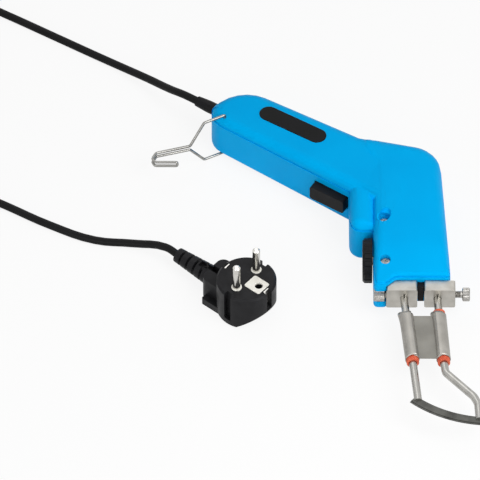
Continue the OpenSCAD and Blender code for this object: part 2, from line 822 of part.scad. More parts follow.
// Points on the straight stretch of each leg where the bracket starts and ends
function on_leg(leg, s) = concat(leg[0] + unit(leg[1] - leg[0]) * s, mid_z);
rear_run = [rear_root, rear_leg[0]];
front_run = [front_root, front_leg[0]];
bracket_from = leg_reach * bracket_start_share;
module tube_on(leg, s0, s1, d0, d1) {
  difference() {
    rod(on_leg(leg, s0), on_leg(leg, s1), d1);
    rod(on_leg(leg, s0 - over), on_leg(leg, s1 + over), d0);
  }
}
module bracket_plate(t) {
  a = on_leg(rear_run, bracket_from);
  b = on_leg(front_run, bracket_from);
  c = on_leg(front_run, bracket_to);
  d = on_leg(rear_run, bracket_to);
  translate([0, 0, mid_z - t / 2]) linear_extrude(t)
    polygon([for (p = [a, d, c, b]) [p.x, p.y]]);
}
bracket_to = bracket_from + bracket_len;
module blade_bracket() {
  color("darkgray") difference() {
    union() {
      bracket_plate(bracket_t);
      for (leg = [rear_run, front_run]) rod(on_leg(leg, bracket_from), on_leg(leg, bracket_to), bracket_d);
    }
    for (leg = [rear_run, front_run])
      rod(on_leg(leg, bracket_from - over), on_leg(leg, bracket_to + over), sleeve_d + 2 * fit);
  }
}
module leg_sleeve(leg, top_out) {
  tube_on(leg, bracket_from - top_out, bracket_to + sleeve_out, leg_d + 2 * fit, sleeve_d);
}
module leg_sleeve_rear() { color("orangered") leg_sleeve(rear_run, fit); }
module leg_sleeve_front() { color("orangered") leg_sleeve(front_run, sleeve_out); }

// Wire bail with a doubled hook: one wire from pin to pin, mirrored about the mid plane
wire_off = (wire_gap + wire_d) / 2;
bail_off = hook_half + wire_d / 2 + slack;
function hook_point(i, z) = let(p = turned(hook_shares[i] * hook_reach, hook_turn + handle_angle))
  [pivot_x + p.x, pivot_y + p.y, z];
function hook_side(s) = concat([hook_point(0, mid_z + s * hook_half), hook_point(0, mid_z + s * bail_off),
  hook_point(1, mid_z + s * bail_off)], [for (i = [2 : 6]) hook_point(i, mid_z + s * wire_off)]);
function reversed(v) = [for (i = [len(v) - 1 : -1 : 0]) v[i]];
module hanging_hook() {
  color("silver") on_handle() {
    tube(bends(concat(hook_side(1), reversed(hook_side(-1))), wire_bend), wire_d, wire_sides);
    for (s = [-1, 1]) rod(hook_point(0, mid_z + s * (hook_half - pin_in + slack)),
      hook_point(0, mid_z + s * (hook_half + slack / 2)), wire_d);
  }
}

// Gland in the rear end, cord inside it and its clamp
gland_tip_x = handle_rear_x - gland_len;
gland_all = gland_len + rear_depth + gland_in;
module cord_gland() {
  color("black") on_handle() along_x(gland_tip_x, gland_y, mid_z) difference() {
    rotate_extrude() polygon([[0, 0], [gland_end_d / 2, 0], [gland_d / 2, gland_len / 2],
      [gland_d / 2, gland_all - gland_flange_t], [gland_flange_d / 2, gland_all - gland_flange_t],
      [gland_flange_d / 2, gland_all], [0, gland_all]]);
    translate([0, 0, gland_len / 2]) cylinder(d = cord_d + 2 * fit, h = gland_all);
  }
}
module inner_lead() {
  color("black") on_handle() along_x(gland_tip_x + gland_len / 2 + fit, gland_y, mid_z)
    cylinder(d = cord_d, h = gland_all - gland_len / 2 + inner_len);
}
module cord_clamp() {
  color("ivory") on_handle() difference() {
    box([clamp_x - clamp_w / 2, gland_y - clamp_len / 2, mid_z + fit],
      [clamp_x + clamp_w / 2, gland_y + clamp_len / 2, mid_z + cord_d / 2 + clamp_t]);
    along_x(clamp_x - clamp_w, gland_y, mid_z) cylinder(d = cord_d + 2 * fit, h = 2 * clamp_w);
    for (y = [-1, 1]) translate([clamp_x, gland_y + y * clamp_screw_gap / 2, mid_z])
      cylinder(d = screw_d, h = 2 * clamp_w);
  }
}
module clamp_fasteners() {
  seat = mid_z + cord_d / 2 + clamp_t + fit;
  color("gainsboro") on_handle() for (y = [-1, 1])
    translate([clamp_x, gland_y + y * clamp_screw_gap / 2, seat]) {
      cylinder(d = screw_head_d, h = screw_head_t);
      translate([0, 0, -clamp_t]) cylinder(d = screw_d - 2 * fit, h = clamp_t + fit);
    }
}

// Angled plug: round face with side slots and clips, a sloped heel, a neck and a ribbed strain relief
module on_plug() { translate(plug_at) rotate(plug_turn) children(); }
module plug_body() {
  edge = plug_d / 2 - block_round;
  color("black") on_plug() difference() {
    union() {
      rotate_extrude() polygon([[0, 0], [edge, 0], [plug_d / 2, block_round],
        [plug_d / 2, plug_h - block_round], [edge, plug_h], [0, plug_h]]);
      linear_extrude(base_h) translate([plug_d / 4, 0])
        round_rect([plug_d / 2 + neck_len, base_w], block_round);
      translate([0, 0, fit]) linear_extrude(neck_h) translate([plug_d / 4, 0])
        round_rect([plug_d / 2 + 2 * neck_len, neck_w], slot_w);
      along_x(0, 0, relief_z) rotate_extrude() polygon([[0, 0], [relief_d / 2, 0], [relief_d / 2, relief_x],
        [relief_end_d / 2, relief_x + relief_len], [0, relief_x + relief_len]]);
    }
    for (i = [0 : relief_ribs - 1]) along_x(relief_x + rib_step * (i + rib_start_share), 0, relief_z)
      difference() {
        cylinder(d = relief_d + over, h = relief_gap);
        translate([0, 0, -over]) cylinder(d = cord_d + over, h = relief_gap + 2 * over);
      }
    for (a = [0, 180]) rotate(a) {
      box([-slot_w / 2, plug_d / 2 - slot_in, base_h], [slot_w / 2, plug_d, plug_h + over]);
      box([plug_d / 2 - clip_in, -clip_w / 2 - fit, plug_h - clip_h],
        [plug_d, clip_w / 2 + fit, plug_h + over]);
      translate([0, pin_gap / 2, plug_h - pin_root]) cylinder(d = pin_root_d, h = pin_root + over);
      translate([0, pin_gap / 2, plug_h - collar_t + fit])
        cylinder(d = collar_d + 2 * fit, h = collar_t + over);
    }
    along_y(0, plug_d, 0) linear_extrude(2 * plug_d) polygon([[heel_x + over, -over * heel_slope_share],
      [-plug_d, -over * heel_slope_share], [-plug_d, (heel_x + plug_d) * heel_slope_share]]);
    translate([insert_x, 0, plug_h - insert_t]) linear_extrude(insert_t + over)
      round_rect([insert_len, insert_w], block_round);
    translate([socket_x, 0, plug_h - socket_depth]) cylinder(d = socket_d, h = socket_depth + over);
  }
}
rib_step = relief_len / (relief_ribs + rib_start_share);
relief_x = plug_d / 2 + neck_len / 2;

module plug_pins() {
  color("silver") on_plug() for (s = [-1, 1]) translate([0, s * pin_gap / 2, plug_h - pin_root])
    rotate_extrude() polygon([[0, 0], [pin_root_d / 2, 0], [pin_root_d / 2, pin_root + insert_up + slack],
      [pin_d / 2, pin_root + insert_up + slack], [pin_d / 2, pin_root + pin_len - pin_d / 4],
      [pin_d / 4, pin_root + pin_len], [0, pin_root + pin_len]]);
}
module plug_collars() {
  color("white") on_plug() for (s = [-1, 1])
    translate([0, s * pin_gap / 2, plug_h - collar_t + 2 * fit]) difference() {
      cylinder(d = collar_d, h = collar_t + insert_up);
      translate([0, 0, -over]) cylinder(d = pin_root_d + 2 * fit, h = collar_t + 2 * over);
    }
}
module plug_insert() {
  color("ivory") on_plug() translate([0, 0, plug_h - insert_t + fit]) difference() {
    translate([insert_x, 0, 0]) linear_extrude(insert_t + insert_up)
      round_rect([insert_len - 2 * fit, insert_w - 2 * fit], block_round);
    translate([socket_x, 0, -over]) cylinder(d = socket_d, h = insert_t + insert_up + 2 * over);
  }
}
module earth_clips() {
  clip_x = plug_d / 2 - clip_in;
  color("silver") on_plug() for (a = [0, 180]) rotate(a)
    box([clip_x + fit, -clip_w / 2, plug_h - clip_h + fit],
      [clip_x + clip_t, clip_w / 2, plug_h + insert_up]);
}

// Smooth route through points, two steps a span
function curve(p, q, r, s, t) =
  q + ((r - p) * t + (2 * p - 5 * q + 4 * r - s) * t ^ 2 + (3 * q - p - 3 * r + s) * t ^ 3) / 2;
function smooth(pts) = let(n = len(pts)) concat([for (i = [0 : n - 2], k = [0, 1])
  curve(pts[max(i - 1, 0)], pts[i], pts[i + 1], pts[min(i + 2, n - 1)], k / 2)], [pts[n - 1]]);
function sum(v) = v * [for (x = v) 1];
function route_len(p) = sum([for (i = [1 : len(p) - 1]) norm(p[i] - p[i - 1])]);

// Round tube along points: the first ring's side is carried along, so that the tube never twists
function heading(p, i) = unit(p[min(i + 1, len(p) - 1)] - p[max(i - 1, 0)]);
function square_to(v, t) = unit(v - (v * t) * t);
function first_side(t) = abs(t.z) < steep_share ? unit(cross(t, [0, 0, 1])) : unit(cross(t, [0, 1, 0]));
function sides(p) = [for (i = 0, s = first_side(heading(p, 0)); i < len(p);
  i = i + 1, s = square_to(s, heading(p, min(i, len(p) - 1)))) s];
function ring_at(at, s, t, r, n) = let(u = cross(s, t))
  [for (k = [0 : n - 1]) at + r * (cos(360 * k / n) * s + sin(360 * k / n) * u)];
module tube(p, d, n) {
  m = len(p);
  s = sides(p);
  polyhedron([for (i = [0 : m - 1]) each ring_at(p[i], s[i], heading(p, i), d / 2, n)],
    concat(
      [for (k = [0 : m - 2], i = [0 : n - 1]) let(a = k * n + i, b = k * n + (i + 1) % n)
        each [[a, b, b + n], [a, b + n, a + n]]],
      [for (i = [1 : n - 2]) each [[0, i + 1, i], [(m - 1) * n, (m - 1) * n + i, (m - 1) * n + i + 1]]]));
}

lead_from = concat(turned([gland_tip_x, gland_y], -handle_angle), mid_z);
lead_dir = concat(turned([-1, 0], -handle_angle), 0);
tail_to = concat(plug_at + turned([relief_x + relief_len, 0], plug_turn), relief_z);
tail_dir = concat(turned([1, 0], plug_turn), 0);

// Coil: in along the lower layer, up in part of a turn, out along the upper layer
function coil_inward(t) = t < coil_layer_turns ? t
  : coil_layer_turns - max(t - coil_layer_turns - climb_turns, 0);
function coil_radius(t) = coil_r - coil_pitch * coil_inward(t);
function coil_lift(t) = coil_rise * min(max(t - coil_layer_turns, 0) / climb_turns, 1);
function coil_way(t) = let(a = coil_start + 360 * t) [-sin(a), cos(a), 0];
function coil_point(t) = let(a = coil_start + 360 * t)
  concat(coil_at + coil_radius(t) * [cos(a), sin(a)], coil_z + coil_lift(t));
coil_from = coil_point(0) - cord_d * coil_way(0);
coil_to = coil_point(coil_turns) + cord_d * coil_way(coil_turns);
coil_path = concat([coil_from], [for (i = [0 : coil_turns * loop_rings]) coil_point(i / loop_rings)],
  [coil_to]);
lead_path = concat([lead_from], smooth(concat([lead_from + 2 * cord_d * lead_dir], lead_points,
  [coil_from - cord_d * coil_way(0)])), [coil_from]);
tail_path = concat([coil_to], smooth(concat([coil_to + cord_d * coil_way(coil_turns)], tail_points,
  [tail_to + 2 * cord_d * tail_dir])), [tail_to]);

// Least distance between the coil's turns, surface to surface, and the cord's length
coil_least_gap = min([for (i = [0 : len(coil_path) - 1], j = [i + loop_rings / 2 : len(coil_path) - 1])
  norm(coil_path[i] - coil_path[j])]) - cord_d;
echo(coil_least_gap = coil_least_gap);
echo(cord_length = route_len(lead_path) + route_len(coil_path) + route_len(tail_path));

module cord_lead() { color("black") tube(lead_path, cord_d, cord_sides); }
module cord_coil() { color("black") tube(coil_path, cord_d, coil_sides); }
module cord_tail() { color("black") tube(tail_path, cord_d, cord_sides); }

// Band round the coil's turns
module coil_tie() {
  tie_in = coil_radius(coil_layer_turns + tie_turns) - cord_d / 2 - tie_gap;
  tie_out = coil_radius(tie_turns) + cord_d / 2 + tie_gap;
  tie_low = coil_z - cord_d / 2 - tie_gap;
  tie_high = coil_z + coil_rise + cord_d / 2 + tie_gap;
  color("black") translate([coil_at.x, coil_at.y, 0]) difference() {
    box([tie_in - tie_t, -tie_w / 2, tie_low - tie_t], [tie_out + tie_t, tie_w / 2, tie_high + tie_t]);
    box([tie_in, -tie_w, tie_low], [tie_out, tie_w, tie_high]);
  }
}

housing_base();
housing_cover();
cover_screws();
badge_plate();
trigger();
trigger_switch();
dial_knob();
dial_shaft();
regulator();
control_board();
transformer_core();
bobbin();
primary_winding();
secondary_strap();
terminal_block_rear();
terminal_block_front();
block_separator();
clamp_screw_rear();
clamp_screw_front();
blade_leg_rear();
blade_leg_front();
blade_strip();
blade_bracket();
leg_sleeve_rear();
leg_sleeve_front();
hanging_hook();
cord_gland();
inner_lead();
cord_clamp();
clamp_fasteners();
plug_body();
plug_pins();
plug_collars();
plug_insert();
earth_clips();
cord_lead();
cord_coil();
coil_tie();
cord_tail();
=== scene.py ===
import json
import math

import bmesh
import bpy
from mathutils import Matrix, Vector

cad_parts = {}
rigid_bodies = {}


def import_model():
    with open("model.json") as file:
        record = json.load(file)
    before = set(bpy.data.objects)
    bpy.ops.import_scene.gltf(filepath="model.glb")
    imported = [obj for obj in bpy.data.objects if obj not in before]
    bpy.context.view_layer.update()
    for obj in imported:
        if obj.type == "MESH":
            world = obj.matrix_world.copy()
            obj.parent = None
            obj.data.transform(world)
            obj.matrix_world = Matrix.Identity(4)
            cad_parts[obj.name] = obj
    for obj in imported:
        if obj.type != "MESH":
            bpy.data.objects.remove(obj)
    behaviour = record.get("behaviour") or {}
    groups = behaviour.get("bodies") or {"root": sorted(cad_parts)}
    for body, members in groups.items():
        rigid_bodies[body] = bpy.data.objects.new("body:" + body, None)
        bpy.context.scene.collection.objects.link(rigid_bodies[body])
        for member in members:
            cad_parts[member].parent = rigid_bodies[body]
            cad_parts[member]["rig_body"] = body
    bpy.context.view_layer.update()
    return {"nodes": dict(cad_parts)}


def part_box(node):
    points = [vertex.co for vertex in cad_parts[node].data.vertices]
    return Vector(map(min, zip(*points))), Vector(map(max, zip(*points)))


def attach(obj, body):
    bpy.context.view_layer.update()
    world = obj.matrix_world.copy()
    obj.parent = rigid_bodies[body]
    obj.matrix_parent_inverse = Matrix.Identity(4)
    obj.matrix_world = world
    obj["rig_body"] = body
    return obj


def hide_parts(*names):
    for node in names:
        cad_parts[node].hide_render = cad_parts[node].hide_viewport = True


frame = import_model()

nodes = frame["nodes"]
MM = 0.001


def mm(*values):
    return Vector(values) * MM


# Camera, lamps and floor: a very long lens from the blade's side, 48 degrees up, as in the
# photograph. Distances are in metres, a lens in millimetres and a lamp's power in watts.

TARGET = mm(-107, -16.6, 19)
ELEVATION = math.radians(48)
DISTANCE = 6.0


def aim(thing, target):
    thing.rotation_euler = (target - thing.location).to_track_quat("-Z", "Y").to_euler()


lens = bpy.data.cameras.new("photo_lens")
lens.lens = 720
lens.sensor_width = 36
camera = bpy.data.objects.new("photo_camera", lens)
camera.location = TARGET + DISTANCE * Vector((0, -math.cos(ELEVATION), math.sin(ELEVATION)))
aim(camera, TARGET)
bpy.context.scene.collection.objects.link(camera)
bpy.context.scene.camera = camera
bpy.context.scene.view_settings.view_transform = "Standard"


def soft_lamp(name, place, size, power):
    light = bpy.data.lights.new(name, "AREA")
    light.shape = "SQUARE"
    light.size = size
    light.energy = power
    lamp = bpy.data.objects.new(name, light)
    lamp.location = place
    aim(lamp, TARGET)
    bpy.context.scene.collection.objects.link(lamp)


soft_lamp("key_softbox", (0.34, -0.4, 0.66), 0.55, 4.7)
soft_lamp("fill_softbox", (-0.6, -0.9, 0.45), 0.8, 3.5)
soft_lamp("back_softbox", (-0.3, 0.55, 1.3), 0.8, 2.4)


def linear(code):
    """An sRGB hex value as linear red, green, blue and alpha."""
    parts = [int(code[i:i + 2], 16) / 255 for i in (1, 3, 5)]
    return [c / 12.92 if c <= 0.04045 else ((c + 0.055) / 1.055) ** 2.4 for c in parts] + [1]


def add(tree, kind, settings=None, **sockets):
    """Adds one node: settings are its own values, and each socket gets a value or a link."""
    node = tree.nodes.new(kind)
    for name, value in (settings or {}).items():
        setattr(node, name, value)
    for name, value in sockets.items():
        socket = node.inputs[int(name[1:]) if name[1:].isdigit() else name.replace("_", " ")]
        if isinstance(value, bpy.types.NodeSocket):
            tree.links.new(value, socket)
        else:
            socket.default_value = value
    return node


def seen_ray(tree):
    """1 for what the camera sees, straight or in metal and glass."""
    path = add(tree, "ShaderNodeLightPath")
    either = add(tree, "ShaderNodeMath", {"operation": "MAXIMUM"},
                 _0=path.outputs["Is Camera Ray"], _1=path.outputs["Is Glossy Ray"])
    return add(tree, "ShaderNodeMath", {"operation": "MAXIMUM"},
               _0=either.outputs[0], _1=path.outputs["Is Transmission Ray"]).outputs[0]


world = bpy.data.worlds.new("pale_studio")
world.use_nodes = True
sky = world.node_tree
sky.nodes.clear()
room = add(sky, "ShaderNodeBackground", Color=linear("#FFFFFF"), Strength=0.3)
paper = add(sky, "ShaderNodeBackground", Color=linear("#FFFFFF"), Strength=1.0)
both = add(sky, "ShaderNodeMixShader", _0=seen_ray(sky), _1=room.outputs[0], _2=paper.outputs[0])
add(sky, "ShaderNodeOutputWorld", Surface=both.outputs[0])
bpy.context.scene.world = world


FLOOR_GLOW = 0.88


def paper_floor():
    """White paper sweep: nearly pure white to the eye, with the object's soft shadow kept."""
    made = bpy.data.materials.new("white_paper")
    made.use_nodes = True
    tree = made.node_tree
    tree.nodes.clear()
    sheet = add(tree, "ShaderNodeBsdfDiffuse", Color=linear("#F2F2F2"))
    glow = add(tree, "ShaderNodeEmission", Color=linear("#FFFFFF"), Strength=1.0)
    share = add(tree, "ShaderNodeMath", {"operation": "MULTIPLY"}, _0=seen_ray(tree), _1=FLOOR_GLOW)
    mixed = add(tree, "ShaderNodeMixShader",
                _0=share.outputs[0], _1=sheet.outputs[0], _2=glow.outputs[0])
    add(tree, "ShaderNodeOutputMaterial", Surface=mixed.outputs[0])
    return made


def new_piece(name, bm, finish):
    mesh = bpy.data.meshes.new(name)
    bm.to_mesh(mesh)
    bm.free()
    mesh.materials.append(finish)
    piece = bpy.data.objects.new(name, mesh)
    bpy.context.scene.collection.objects.link(piece)
    return piece


floor_bm = bmesh.new()
bmesh.ops.create_grid(floor_bm, x_segments=1, y_segments=1, size=4)
floor = new_piece("paper_sweep", floor_bm, paper_floor())


# Finishes. Object coordinates are metres, so a pattern's scale is one over its real size.

COLOUR_FROM, COLOUR_TO = 0.32, 0.68  # the part of a noise's range that a colour drifts over
GLOSS_FROM, GLOSS_TO = 0.3, 0.7  # the same for roughness
WAVE_BANDS = 20 / (2 * math.pi)  # bands of a wave texture in one unit of its scale


def blank(name):
    made = bpy.data.materials.new(name)
    made.use_nodes = True
    tree = made.node_tree
    tree.nodes.clear()
    shader = add(tree, "ShaderNodeBsdfPrincipled")
    add(tree, "ShaderNodeOutputMaterial", Surface=shader.outputs[0])
    place = add(tree, "ShaderNodeTexCoord").outputs["Object"]
    return made, tree, shader, place


def mottle(tree, shader, place, size, low, high):
    """Slow drift of colour between two hex values, over patches of a size in mm."""
    patches = add(tree, "ShaderNodeTexNoise", Vector=place, Scale=1 / (size * MM), Detail=3.0)
    ramp = add(tree, "ShaderNodeValToRGB", Fac=patches.outputs[0])
    ramp.color_ramp.elements[0].position = COLOUR_FROM
    ramp.color_ramp.elements[1].position = COLOUR_TO
    ramp.color_ramp.elements[0].color = linear(low)
    ramp.color_ramp.elements[1].color = linear(high)
    tree.links.new(ramp.outputs[0], shader.inputs["Base Color"])


def uneven_gloss(tree, shader, place, size, low, high):
    """Roughness that drifts between two values, over patches of a size in mm."""
    patches = add(tree, "ShaderNodeTexNoise", Vector=place, Scale=1 / (size * MM), Detail=4.0)
    span = add(tree, "ShaderNodeMapRange", Value=patches.outputs[0],
               _1=GLOSS_FROM, _2=GLOSS_TO, _3=low, _4=high)
    tree.links.new(span.outputs[0], shader.inputs["Roughness"])


def grain(tree, shader, place, size, depth, strength):
    """Fine relief of a grain size and a depth in mm, drawn coarser than the real one to show."""
    bumps = add(tree, "ShaderNodeTexNoise", Vector=place, Scale=1 / (size * MM), Detail=2.0)
    relief = add(tree, "ShaderNodeBump",
                 Strength=strength, Distance=depth * MM, Height=bumps.outputs[0])
    tree.links.new(relief.outputs[0], shader.inputs["Normal"])


def abs_blue():
    """Moulded ABS in bright blue: even satin colour, a spark-eroded grain of 0.9 mm, about twice
    as coarse as a mould's, and slightly glossier worn patches."""
    made, tree, shader, place = blank("moulded_abs_blue")
    shader.inputs["Specular IOR Level"].default_value = 0.12
    shader.inputs["Specular Tint"].default_value = linear("#3CB4FF")
    mottle(tree, shader, place, 35, "#00A9EC", "#00AFF1")
    uneven_gloss(tree, shader, place, 14, 0.44, 0.54)
    grain(tree, shader, place, 0.9, 0.04, 0.35)
    return made


def nylon_black(name, low, high, dull, rough):
    """Black nylon, PVC or lacquer: near black, grey sheen at low angles, faint flow marks."""
    made, tree, shader, place = blank(name)
    shader.inputs["Specular IOR Level"].default_value = 0.13
    mottle(tree, shader, place, 9, low, high)
    uneven_gloss(tree, shader, place, 6, dull, rough)
    grain(tree, shader, place, 0.8, 0.04, 0.3)
    return made


def plated(name, low, high, smooth, rough, size):
    """Plated or bare metal: soft reflections, cloudy where the plating or polish is thin."""
    made, tree, shader, place = blank(name)
    shader.inputs["Metallic"].default_value = 1.0
    mottle(tree, shader, place, size, low, high)
    uneven_gloss(tree, shader, place, size / 2, smooth, rough)
    grain(tree, shader, place, 0.7, 0.02, 0.25)
    return made


def drawn_steel(name, low, high, axis):
    """Bright drawn steel rod or wire: scratches along its length, 5 mm long and 0.4 mm apart."""
    made, tree, shader, place = blank(name)
    shader.inputs["Metallic"].default_value = 1.0
    finer = 12
    stretch = add(tree, "ShaderNodeMapping", Vector=place, Scale=[1 if a else finer for a in axis])
    mottle(tree, shader, stretch.outputs[0], 40, low, high)
    uneven_gloss(tree, shader, place, 5, 0.2, 0.34)
    grain(tree, shader, stretch.outputs[0], 5, 0.02, 0.3)
    return made


def heated_steel():
    """Cutting strip: steel under a dark grey oxide, lighter in patches, half matte."""
    made, tree, shader, place = blank("heat_darkened_steel")
    shader.inputs["Metallic"].default_value = 1.0
    mottle(tree, shader, place, 9, "#454543", "#666662")
    uneven_gloss(tree, shader, place, 3, 0.35, 0.55)
    grain(tree, shader, place, 0.6, 0.03, 0.3)
    return made


def glass_sleeve():
    """Red lacquered glass-fibre sleeving: matte, woven bands 0.8 mm apart, browned in patches."""
    made, tree, shader, place = blank("red_glass_sleeving")
    mottle(tree, shader, place, 4, "#C5482C", "#E87452")
    shader.inputs["Roughness"].default_value = 0.7
    weave = add(tree, "ShaderNodeTexWave", {"bands_direction": "Y"}, Vector=place,
                Scale=1 / WAVE_BANDS / (0.8 * MM), Distortion=1.0)
    relief = add(tree, "ShaderNodeBump", Strength=0.4, Distance=0.05 * MM, Height=weave.outputs[0])
    tree.links.new(relief.outputs[0], shader.inputs["Normal"])
    return made


def pvc_cord():
    """Extruded PVC flex: soft black, low gloss, faint drag lines."""
    made, tree, shader, place = blank("extruded_pvc")
    shader.inputs["Specular IOR Level"].default_value = 0.13
    mottle(tree, shader, place, 12, "#0A0A0B", "#121213")
    uneven_gloss(tree, shader, place, 8, 0.42, 0.55)
    grain(tree, shader, place, 0.8, 0.03, 0.25)
    return made


def plain_plastic(name, low, high, rough):
    """Pale or coloured moulded plastic, satin."""
    made, tree, shader, place = blank(name)
    mottle(tree, shader, place, 6, low, high)
    uneven_gloss(tree, shader, place, 5, rough - 0.05, rough + 0.05)
    grain(tree, shader, place, 0.8, 0.02, 0.2)
    return made


blue = abs_blue()
black = nylon_black("moulded_nylon_black", "#0C0C0E", "#131315", 0.4, 0.52)
plug_black = nylon_black("moulded_pvc_black", "#161618", "#202022", 0.36, 0.5)
badge_black = nylon_black("lacquered_plate_black", "#060708", "#0B0C0E", 0.26, 0.34)
nickel = plated("nickel_plated_brass", "#ABA8A1", "#BEBBB4", 0.3, 0.42, 6)
sheet_nickel = plated("nickel_plated_sheet", "#9E9B95", "#ADAAA4", 0.44, 0.54, 9)
# The rolls' sheet again for the flat plate, a little rougher, its colour painted darker as shade for
# the plate's dimmer reflection.
shaded_plate_nickel = plated("nickel_sheet_painted_shade", "#807E78", "#8E8C86", 0.48, 0.58, 9)
pin_nickel = plated("polished_nickel", "#C9C7C2", "#D8D6D1", 0.16, 0.24, 5)
rod_steel = drawn_steel("drawn_stainless_rod", "#9C9B97", "#B8B6B1", (0, 1, 0))
wire_steel = drawn_steel("zinc_plated_wire", "#7C7B78", "#A1A09C", (1, 0, 0))
screw_steel = plated("zinc_plated_screw", "#93918D", "#B8B6B2", 0.22, 0.34, 3)
strip_steel = heated_steel()
red = glass_sleeve()
cord_black = pvc_cord()
white = plain_plastic("white_polyamide", "#E6E3DA", "#F2F0E9", 0.45)
ivory = plain_plastic("ivory_polyester", "#CFC8B4", "#DED8C6", 0.5)
board = plain_plastic("green_epoxy_glass", "#0E4A24", "#156233", 0.4)
pot_blue = plain_plastic("blue_phenolic", "#28477F", "#335793", 0.45)
copper = plated("bare_copper", "#B5623C", "#C87A50", 0.3, 0.4, 5)
iron = plated("laminated_iron", "#55555A", "#66666B", 0.4, 0.55, 3)


# Cord: one curve from the gland along the lead, round the coil and along the tail to the plug,
# in mm.

CORD_D, LEAD_TURN = 5, math.radians(33)
lead_from = (-134.143, 101.899, 19)
lead_dir = Vector((-math.cos(LEAD_TURN), math.sin(LEAD_TURN), 0))
lead_points = [(-151, 115.6, 15), (-166.5, 131.5, 8.5), (-182, 145, 4), (-198, 156, 2.6),
               (-227, 174, 2.6), (-257, 192.5, 2.6), (-276, 203.5, 2.6), (-295, 210.5, 2.6),
               (-314, 211, 2.6), (-330, 204, 2.6), (-341.5, 190.5, 2.6), (-347.5, 172.5, 2.8),
               (-349, 152, 3.2), (-349, 132, 3.6)]
tail_points = [(-319, 67, 8.6), (-302, 55, 5), (-282, 43, 2.7), (-254, 27, 2.6),
               (-226, 10.5, 2.6), (-198, -2, 2.6), (-174, -6, 4)]
COIL_AT, COIL_R, COIL_PITCH, COIL_RISE = Vector((-310, 110, 3.6)), 39, 6.2, 6
LAYER_TURNS, CLIMB_TURNS, COIL_TURNS, KNOTS_A_TURN = 3, 0.5, 6.125, 24
PLUG_AT, PLUG_TURN = Vector((-103, -56, 0)), math.radians(140)
RELIEF_END, RELIEF_HIGH = 55.75, 9
tail_dir = Vector((math.cos(PLUG_TURN), math.sin(PLUG_TURN), 0))
tail_to = PLUG_AT + RELIEF_END * tail_dir + Vector((0, 0, RELIEF_HIGH))


def coil_way(turn):
    angle = math.pi + 2 * math.pi * turn
    return Vector((-math.sin(angle), math.cos(angle), 0))


def coil_point(turn):
    angle = math.pi + 2 * math.pi * turn
    inward = turn if turn < LAYER_TURNS else LAYER_TURNS - max(turn - LAYER_TURNS - CLIMB_TURNS, 0)
    lift = COIL_RISE * min(max(turn - LAYER_TURNS, 0) / CLIMB_TURNS, 1)
    out = COIL_R - COIL_PITCH * inward
    return COIL_AT + Vector((out * math.cos(angle), out * math.sin(angle), lift))


coil_from = coil_point(0) - CORD_D * coil_way(0)
coil_to = coil_point(COIL_TURNS) + CORD_D * coil_way(COIL_TURNS)
route = [Vector(lead_from), Vector(lead_from) + 2 * CORD_D * lead_dir]
route += [Vector(p) for p in lead_points]
route += [coil_from - CORD_D * coil_way(0), coil_from]
route += [coil_point(i / KNOTS_A_TURN) for i in range(int(COIL_TURNS * KNOTS_A_TURN) + 1)]
route += [coil_to, coil_to + CORD_D * coil_way(COIL_TURNS)]
route += [Vector(p) for p in tail_points]
route += [tail_to + 2 * CORD_D * tail_dir, tail_to]

cord_line = bpy.data.curves.new("mains_cord", "CURVE")
cord_line.dimensions = "3D"
cord_line.bevel_depth = CORD_D / 2 * MM
cord_line.bevel_resolution = 4
cord_line.resolution_u = 4
cord_line.use_fill_caps = True
spline = cord_line.splines.new("BEZIER")
spline.bezier_points.add(len(route) - 1)
for knot, point in zip(spline.bezier_points, route):
    knot.co = point * MM
    knot.handle_left_type = knot.handle_right_type = "AUTO"
cord_line.materials.append(cord_black)
cord = bpy.data.objects.new("mains_cord", cord_line)
bpy.context.scene.collection.objects.link(cord)
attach(cord, "body")
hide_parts("cord_lead", "cord_coil", "cord_tail")


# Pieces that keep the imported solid's shape: merged copies with rounded edges and smooth curves. The
# housing's halves also get small soft forms, whose places and sizes are in mm.

MERGE = 0.01 * MM
FLAT = math.radians(0.4)
NECK_BOX, NECK_STEP, NECK_PASSES = ((-36, 43), (-20, 58)), 1, 8
NECK_AT, NECK_BACK, NECK_FRONT, NECK_HALF = (-28.3, 50.5), 7, 6, 8
NECK_FILL, PARTING_Z, PARTING_LIP = (-0.7, 2.1, 0), 30, 1.6
RECESS_AT, RECESS_R, RIM_ABOVE = (-17, -13, 0), 3.4, 35
RIM_WIDER, RIM_LEAN, RIM_LONGER, RIM_SHIFT = 1.15, 0.3, 1.8, (0.5, 1.4)


def scored(bm, low, high, step):
    """Cuts the faces that reach into a box of x and y along lines a step apart, all in mm."""
    for axis in (0, 1):
        across = Vector((axis == 0, axis == 1, 0))
        for count in range(int((high[axis] - low[axis]) / step) + 1):
            faces = []
            for face in bm.faces:
                reach = [[point.co[a] for point in face.verts] for a in (0, 1)]
                if all(min(reach[a]) < high[a] * MM and max(reach[a]) > low[a] * MM
                       for a in (0, 1)):
                    faces.append(face)
            parts = set(faces)
            for face in faces:
                parts.update(face.edges)
                parts.update(face.verts)
            bmesh.ops.bisect_plane(bm, geom=list(parts), dist=MERGE, plane_no=across,
                                   plane_co=across * (low[axis] + count * step) * MM)


def filled_neck(bm):
    """Fills out the notch between the handle's back and the head's top to one soft curve."""
    scored(bm, *NECK_BOX, NECK_STEP)
    bmesh.ops.remove_doubles(bm, verts=bm.verts, dist=MERGE)
    neck = []
    for point in bm.verts:
        x, y = point.co.x / MM - NECK_AT[0], point.co.y / MM - NECK_AT[1]
        share = (x / (NECK_FRONT if x > 0 else NECK_BACK)) ** 2 + (y / NECK_HALF) ** 2
        if share < 1:
            point.co += (1 - share) ** 2 * mm(*NECK_FILL)
            if abs(point.co.z - PARTING_Z * MM) > PARTING_LIP * MM:
                neck.append(point)
    for _ in range(NECK_PASSES):
        bmesh.ops.smooth_vert(bm, verts=neck, factor=0.5,
                              use_axis_x=True, use_axis_y=True, use_axis_z=True)


